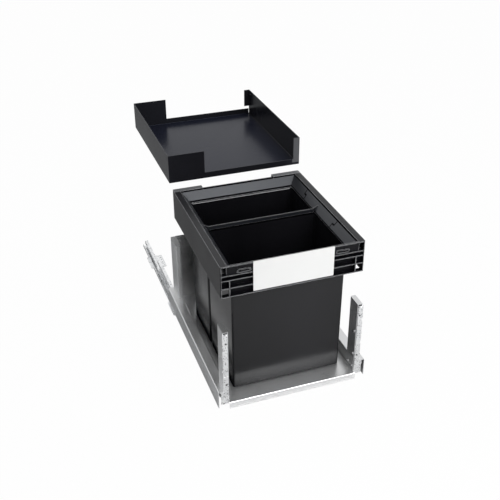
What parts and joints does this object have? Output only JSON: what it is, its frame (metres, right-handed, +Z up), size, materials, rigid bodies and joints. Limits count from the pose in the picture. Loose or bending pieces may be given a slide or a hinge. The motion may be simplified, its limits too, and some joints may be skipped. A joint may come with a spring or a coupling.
{
  "type": "pull out waste bin frame",
  "caption": "Cabinet pull out on full-extension roller runners: folded steel tray with posts carries waste bins under a lift-off frame with a sloped inlet; fixed sheet shelf above.",
  "frame": {"origin": "middle of the outer box's underside, on the cabinet's floor", "axes": "+X to the right and +Y into the cabinet as seen by someone who pulls the drawer, +Z up; the drawer opens towards -Y"},
  "size_m": [0.417, 0.9, 0.5145],
  "materials": {
    "tray_coating": "mid grey powder coat, satin, fine grain",
    "runner_zinc": "bright zinc-plated strip with rolling marks along its length",
    "bracket_zinc": "zinc-plated pressed sheet, slightly mottled",
    "fastener_steel": "plated steel, turned",
    "roller_steel": "ground steel",
    "cage_plastic": "pale moulded plastic",
    "bin_plastic": "anthracite moulded plastic, glossy, faint vertical flow lines",
    "frame_plastic": "anthracite moulded plastic, fine texture",
    "inlet_plastic": "anthracite moulded plastic, silky",
    "plate_plastic": "plain white moulded plastic, soft gloss",
    "shelf_coating": "anthracite powder coat, fine grain"
  },
  "bodies": {
    "cabinet": {"left_cabinet_rail": "runner_zinc", "right_cabinet_rail": "runner_zinc", "left_rail_feet": "runner_zinc", "right_rail_feet": "runner_zinc", "rail_rivets": "fastener_steel", "top_shelf": "shelf_coating"},
    "drawer": {"base_tray": "tray_coating", "left_front_post": "tray_coating", "right_front_post": "tray_coating", "left_rear_post": "tray_coating", "right_rear_post": "tray_coating", "post_rivets": "fastener_steel", "left_drawer_rail": "runner_zinc", "right_drawer_rail": "runner_zinc", "bracket_screws": "fastener_steel"},
    "frame": {"bin_frame": "frame_plastic", "front_funnel": "inlet_plastic", "back_funnel": "inlet_plastic", "left_funnel_strip": "inlet_plastic", "right_funnel_strip": "inlet_plastic", "inlet_crossbar": "inlet_plastic", "front_plate": "plate_plastic"},
    "front_bin": {"front_bin": "bin_plastic"},
    "rear_bin": {"rear_bin": "bin_plastic"},
    "left_middle": {"left_middle_rail": "runner_zinc"},
    "left_lower_runner_cage": {"left_lower_cage": "cage_plastic", "left_lower_rollers": "roller_steel"},
    "left_upper_runner_cage": {"left_upper_cage": "cage_plastic", "left_upper_rollers": "roller_steel"},
    "left_bracket": {"left_front_bracket": "bracket_zinc"},
    "left_height_adjuster": {"left_height_adjuster": "fastener_steel"},
    "left_tilt_adjuster": {"left_tilt_adjuster": "fastener_steel"},
    "right_middle": {"right_middle_rail": "runner_zinc"},
    "right_lower_runner_cage": {"right_lower_cage": "cage_plastic", "right_lower_rollers": "roller_steel"},
    "right_upper_runner_cage": {"right_upper_cage": "cage_plastic", "right_upper_rollers": "roller_steel"},
    "right_bracket": {"right_front_bracket": "bracket_zinc"},
    "right_height_adjuster": {"right_height_adjuster": "fastener_steel"},
    "right_tilt_adjuster": {"right_tilt_adjuster": "fastener_steel"}
  },
  "joints": [
    {"name": "drawer_slide", "type": "slide", "parent": "cabinet", "child": "drawer", "axis": [0, -1, 0], "range_m": [-0.375, 0.11]},
    {"name": "frame_lift", "type": "slide", "parent": "drawer", "child": "frame", "axis": [0, 0, 1], "range_m": [0, 0.5]},
    {"name": "front_bin_lift", "type": "slide", "parent": "drawer", "child": "front_bin", "axis": [0, 0, 1], "range_m": [0, 0.2501]},
    {"name": "rear_bin_lift", "type": "slide", "parent": "drawer", "child": "rear_bin", "axis": [0, 0, 1], "range_m": [0, 0.2501]},
    {"name": "left_middle_slide", "type": "slide", "parent": "cabinet", "child": "left_middle", "axis": [0, -1, 0], "range_m": [-0.188, 0.0555]},
    {"name": "left_lower_cage_slide", "type": "slide", "parent": "cabinet", "child": "left_lower_runner_cage", "axis": [0, -1, 0], "range_m": [-0.09425, 0.028]},
    {"name": "left_upper_cage_slide", "type": "slide", "parent": "cabinet", "child": "left_upper_runner_cage", "axis": [0, -1, 0], "range_m": [-0.28175, 0.083]},
    {"name": "left_bracket_height", "type": "slide", "parent": "drawer", "child": "left_bracket", "axis": [0, 0, 1], "range_m": [-0.002, 0.002]},
    {"name": "left_height_turn", "type": "hinge", "parent": "drawer", "child": "left_height_adjuster", "pos_m": [-0.18, -0.43, 0.073], "axis": [1, 0, 0], "range_deg": [-120, 120]},
    {"name": "left_tilt_turn", "type": "hinge", "parent": "drawer", "child": "left_tilt_adjuster", "pos_m": [-0.18, -0.43, 0.146], "axis": [1, 0, 0], "range_deg": [-90, 90]},
    {"name": "right_middle_slide", "type": "slide", "parent": "cabinet", "child": "right_middle", "axis": [0, -1, 0], "range_m": [-0.188, 0.0555]},
    {"name": "right_lower_cage_slide", "type": "slide", "parent": "cabinet", "child": "right_lower_runner_cage", "axis": [0, -1, 0], "range_m": [-0.09425, 0.028]},
    {"name": "right_upper_cage_slide", "type": "slide", "parent": "cabinet", "child": "right_upper_runner_cage", "axis": [0, -1, 0], "range_m": [-0.28175, 0.083]},
    {"name": "right_bracket_height", "type": "slide", "parent": "drawer", "child": "right_bracket", "axis": [0, 0, 1], "range_m": [-0.002, 0.002]},
    {"name": "right_height_turn", "type": "hinge", "parent": "drawer", "child": "right_height_adjuster", "pos_m": [0.18, -0.43, 0.073], "axis": [1, 0, 0], "range_deg": [-120, 120]},
    {"name": "right_tilt_turn", "type": "hinge", "parent": "drawer", "child": "right_tilt_adjuster", "pos_m": [0.18, -0.43, 0.146], "axis": [1, 0, 0], "range_deg": [-90, 90]}
  ],
  "couplings": [
    {"joint": "front_bin_lift", "follows": "frame_lift", "ratio": 0.5},
    {"joint": "rear_bin_lift", "follows": "frame_lift", "ratio": 0.5},
    {"joint": "left_middle_slide", "follows": "drawer_slide", "ratio": 0.5},
    {"joint": "left_lower_cage_slide", "follows": "drawer_slide", "ratio": 0.25},
    {"joint": "left_upper_cage_slide", "follows": "drawer_slide", "ratio": 0.75},
    {"joint": "left_height_turn", "follows": "left_bracket_height", "rad_per_m": 785},
    {"joint": "right_middle_slide", "follows": "drawer_slide", "ratio": 0.5},
    {"joint": "right_lower_cage_slide", "follows": "drawer_slide", "ratio": 0.25},
    {"joint": "right_upper_cage_slide", "follows": "drawer_slide", "ratio": 0.75},
    {"joint": "right_height_turn", "follows": "right_bracket_height", "rad_per_m": 785}
  ]
}
